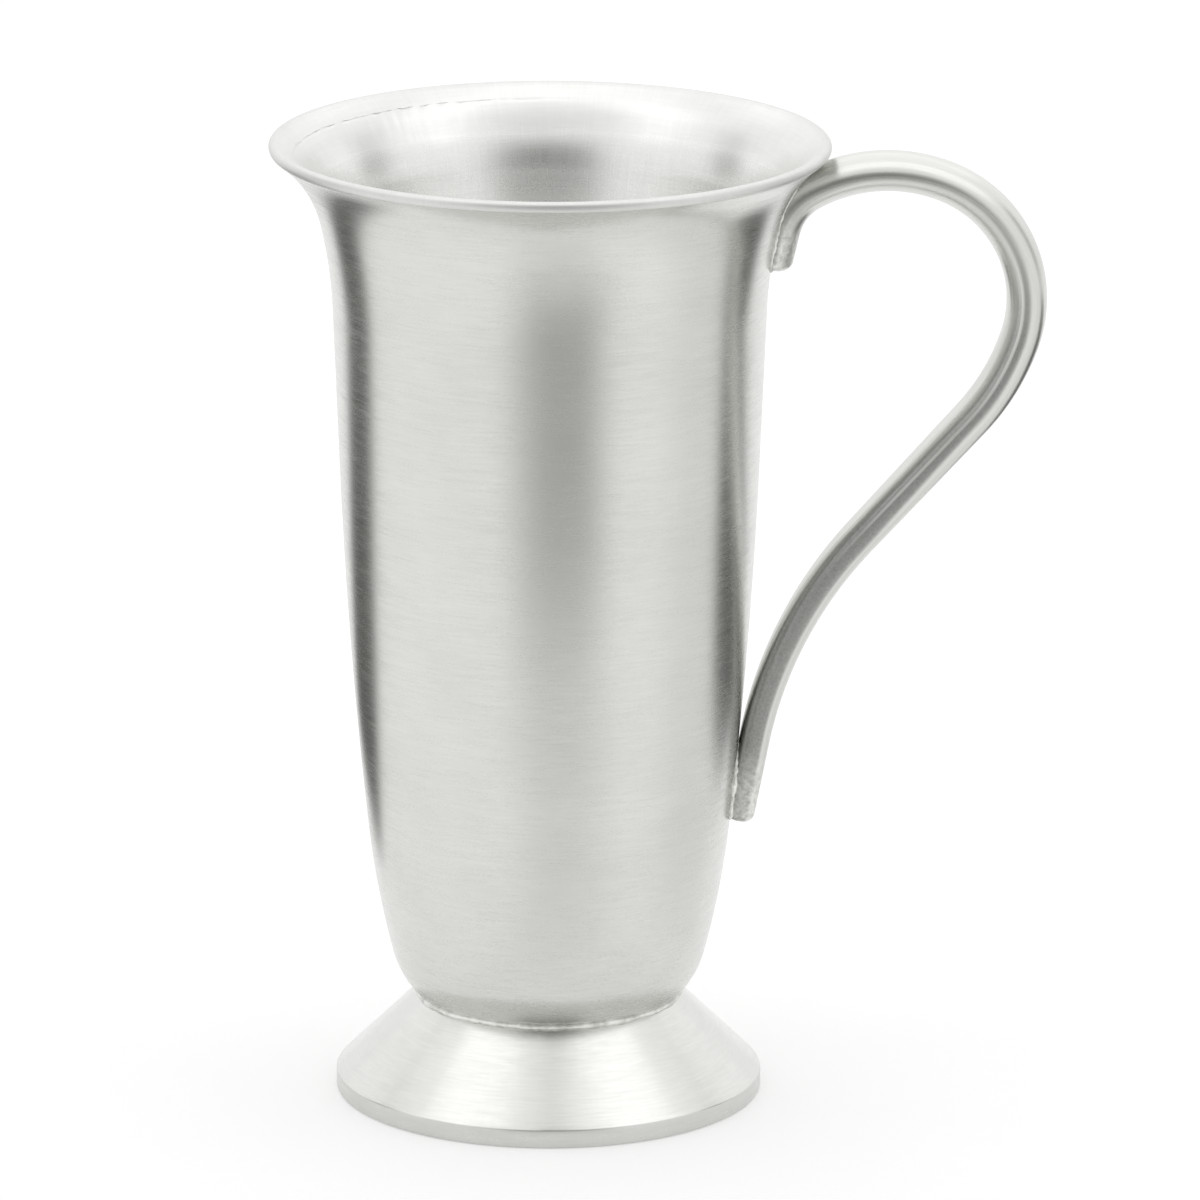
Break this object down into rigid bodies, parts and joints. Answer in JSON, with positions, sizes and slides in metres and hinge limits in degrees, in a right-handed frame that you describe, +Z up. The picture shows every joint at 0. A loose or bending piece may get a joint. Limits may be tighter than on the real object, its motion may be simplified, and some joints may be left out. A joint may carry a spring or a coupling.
{
  "type": "beer mug",
  "caption": "Tall pewter beer mug: tapering spun cup with a flared, hemmed rim, soldered on a hollow conical foot, with a bent, tapering rod handle soldered to its side.",
  "frame": {"origin": "on the cup's axis, on the plane that the foot stands on", "axes": "+Z up along the cup's axis, +X from the axis toward the handle, +Y across the handle's plane"},
  "size_m": [0.1303, 0.094, 0.165],
  "materials": {
    "cup_pewter": "satin pewter, brushed round the axis",
    "foot_pewter": "satin pewter, brushed round the axis",
    "handle_pewter": "satin pewter, brushed along the rod",
    "solder": "bright, slightly uneven tin solder"
  },
  "bodies": {
    "root": {"cup": "cup_pewter", "foot": "foot_pewter", "handle": "handle_pewter", "foot_solder": "solder", "upper_handle_solder": "solder", "lower_handle_solder": "solder"}
  },
  "joints": []
}
